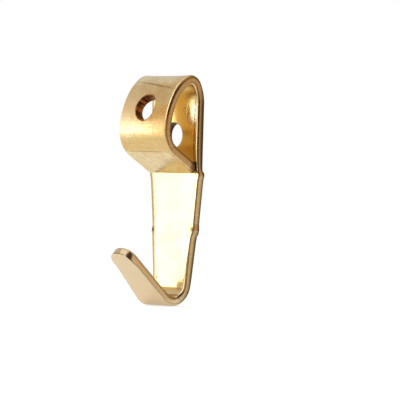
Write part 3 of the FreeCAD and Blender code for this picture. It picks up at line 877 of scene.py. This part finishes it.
# Painted pool of light: the glow seen in reflections grows towards the front left.
spot = add_node(sheet, "NewGeometry").outputs["Position"]
spot = add_node(sheet, "VectorMath", {0: spot, 1: FRONT_LEFT}, operation="DOT_PRODUCT")
span = {"Value": spot.outputs["Value"], "From Min": SHADE_END, "From Max": LIT_FROM,
        "To Min": DIM_PAPER, "To Max": LIT_PAPER}
light_pool_glow = add_node(sheet, "MapRange", span).outputs["Result"]
shown = add_node(sheet, "Mix", {"Factor": seen, 2: light_pool_glow, 3: PAPER_GLOW}, data_type="FLOAT")
matt = add_node(sheet, "BsdfDiffuse", {"Color": linear("#C4C4C2")})
paper_glow = add_node(sheet, "Emission", {"Strength": shown.outputs[0]})
both = add_node(sheet, "AddShader", {0: matt.outputs[0], 1: paper_glow.outputs[0]})
add_node(sheet, "OutputMaterial", {"Surface": both.outputs[0]})
floor_mesh.materials.append(paper)
print("Floor at %.2f mm" % (floor_level / MM))

# %% [markdown]
# ## Cards round the hook
# A photographer of small bright things lights them with cards. A wide softbox at
# the front left fills the flat shank, warm and pale screens stand above and beside
# it for the curled eye, a white screen near the camera lights the rounded corners,
# and brown flags at the right and behind draw a dark line along them. Each card is
# a piece of a ball round the hook, with borders that fade out, and only
# reflections see it.

# %% Card maker
CARD_DISTANCE = 0.6
CARD_COLUMNS, CARD_ROWS = 17, 9
HIDDEN_FROM = ("visible_camera", "visible_diffuse", "visible_shadow", "visible_transmission")
middle = Vector((0.0, -0.004, 0.002))


def towards(azimuth, elevation):
    """Direction from the hook: azimuth 0 is in front, 90 to its right."""
    a, e = math.radians(azimuth), math.radians(elevation)
    return Vector((math.sin(a) * math.cos(e), -math.cos(a) * math.cos(e), math.sin(e)))


def card_mesh(name, azimuths, elevations, distance):
    """A curved grid between two azimuths and two elevations, with its own -1 to 1 places."""
    shares = [(i / (CARD_COLUMNS - 1), j / (CARD_ROWS - 1))
              for j in range(CARD_ROWS) for i in range(CARD_COLUMNS)]
    points = [middle + distance * towards(azimuths[0] + (azimuths[1] - azimuths[0]) * u,
                                          elevations[0] + (elevations[1] - elevations[0]) * v)
              for u, v in shares]
    first = [j * CARD_COLUMNS + i for j in range(CARD_ROWS - 1) for i in range(CARD_COLUMNS - 1)]
    mesh = bpy.data.meshes.new(name)
    mesh.from_pydata(points, [], [(k, k + 1, k + CARD_COLUMNS + 1, k + CARD_COLUMNS)
                                  for k in first])
    place = mesh.attributes.new("place", "FLOAT_VECTOR", "POINT")
    for point, (u, v) in zip(place.data, shares):
        point.vector = (2 * u - 1, 2 * v - 1, 0)
    return mesh


def card(name, azimuths, elevations, colour, brightness, soft, distance=CARD_DISTANCE):
    """A glowing card with soft borders that only reflections see."""
    mesh = card_mesh(name, azimuths, elevations, distance)
    obj = bpy.data.objects.new(name, mesh)
    scene.collection.objects.link(obj)
    for ray in HIDDEN_FROM:
        setattr(obj, ray, False)
    material, nodes = new_material(name)
    spot = add_node(nodes, "Attribute", attribute_name="place").outputs["Vector"]
    spot = add_node(nodes, "VectorMath", {0: spot}, operation="ABSOLUTE").outputs[0]
    spot = add_node(nodes, "SeparateXYZ", {0: spot})
    fades = []
    for axis, border in zip("XY", soft):
        span = {"Value": spot.outputs[axis], "From Min": 1.0, "From Max": 1.0 - border}
        fades.append(add_node(nodes, "MapRange", span, interpolation_type="SMOOTHSTEP").outputs[0])
    fade = add_node(nodes, "Math", {0: fades[0], 1: fades[1]}, operation="MULTIPLY").outputs[0]
    clear = add_node(nodes, "BsdfTransparent")
    light = add_node(nodes, "Emission", {"Color": linear(colour), "Strength": brightness})
    mixed = add_node(nodes, "MixShader", {0: fade, 1: clear.outputs[0], 2: light.outputs[0]})
    add_node(nodes, "OutputMaterial", {"Surface": mixed.outputs[0]})
    mesh.materials.append(material)
    return obj


print("Cards stand %.2f m away" % CARD_DISTANCE)

# %% Set the cards
# Azimuths, elevations, colour, brightness, share of each half that fades, distance in metres.
cards = [
    card("softbox", (-92, 12), (-18, 18), "#FFFFFF", 2.5, (0.1, 0.8), 0.5),
    card("warm_screen", (-120, 10), (3, 40), "#FFE2B4", 0.68, (0.15, 0.3)),
    card("grey_screen", (-97, 5), (27, 58), "#FCEEE0", 0.62, (0.08, 0.5), 0.55),
    card("pale_screen", (-170, -93), (4, 60), "#EEF1FA", 0.8, (0.12, 0.2), 0.5),
    card("left_screen", (-160, -97), (-30, 14), "#EAD9B6", 0.2, (0.12, 0.2), 0.52),
    card("camera_screen", (13, 52), (-40, 60), "#FFFFFF", 1.8, (0.1, 0.2)),
    card("side_flag", (52, 112), (-70, 70), "#A86A2C", 0.14, (0.08, 0.2)),
    card("right_screen", (112, 160), (-45, 45), "#F3D9BC", 0.74, (0.2, 0.3)),
    card("back_flag", (148, 240), (-70, 70), "#A86A2C", 0.12, (0.1, 0.2), 0.55)]
print("Cards:", ", ".join(obj.name for obj in cards))

# %% [markdown]
# One small lamp above the front left gives the floor its soft shadow. The metal
# doesn't mirror it, because the cards already do that work.

# %% Key lamp
LAMP_SIZE = (0.3, 0.2)
LAMP_POWER = 0.8
LAMP_DISTANCE = 0.5
LAMP_PLACE = (-50, 45)
lamp_data = bpy.data.lights.new("key_lamp", "AREA")
lamp_data.shape = "RECTANGLE"
lamp_data.size, lamp_data.size_y = LAMP_SIZE
lamp_data.energy = LAMP_POWER
lamp = bpy.data.objects.new("key_lamp", lamp_data)
scene.collection.objects.link(lamp)
away = towards(*LAMP_PLACE)
aimed = away.to_track_quat("Z", "Y").to_matrix().to_4x4()
lamp.matrix_world = Matrix.Translation(middle + away * LAMP_DISTANCE) @ aimed
lamp.visible_glossy = False
print("Key lamp: %.1f W" % lamp_data.energy)

# %% [markdown]
# ## Camera
# The view is level with the hook, from 45 degrees round to its right, with a long
# lens about half a metre away and a slight roll. A shifted lens could place the
# hook in the frame, but other views would keep the shift, so the camera is aimed
# instead: one point on the hook and the number of pixels in a millimetre fix it.

# %% Camera
FRAME_PIXELS = 400
PIXELS_PER_MM = 6.64
ORIGIN_PIXEL = (181.0, 172.8)
ORIGIN_RISE = 4.6
AZIMUTH = 45.0
ROLL = 0.029
DISTANCE = 550.0
NEAR_SIDE = 5.5

right = Vector((math.cos(math.radians(AZIMUTH)), math.sin(math.radians(AZIMUTH)), 0.0))
aim_right = (FRAME_PIXELS / 2 - ORIGIN_PIXEL[0]) / PIXELS_PER_MM
aim_up = (ORIGIN_PIXEL[1] - FRAME_PIXELS / 2) / PIXELS_PER_MM
aim_x = aim_right * math.cos(ROLL) - aim_up * math.sin(ROLL)
aim_z = aim_right * math.sin(ROLL) + aim_up * math.cos(ROLL)
target = (right * aim_x + Vector((0, 0, ORIGIN_RISE + aim_z))) * MM

camera_data = bpy.data.cameras.new("camera")
camera_data.sensor_width = 36.0
camera_data.lens = camera_data.sensor_width * DISTANCE * PIXELS_PER_MM / FRAME_PIXELS
camera_data.clip_start = 0.01
camera_data.clip_end = 20.0
camera = bpy.data.objects.new("camera", camera_data)
scene.collection.objects.link(camera)
back = towards(AZIMUTH, 0.0)
turn = back.to_track_quat("Z", "Y").to_matrix().to_4x4() @ Matrix.Rotation(ROLL, 4, "Z")
camera.matrix_world = Matrix.Translation(target + back * (DISTANCE + NEAR_SIDE) * MM) @ turn
scene.camera = camera
print("Camera lens %.1f mm, aimed at %s mm"
      % (camera_data.lens, [round(c / MM, 2) for c in target]))
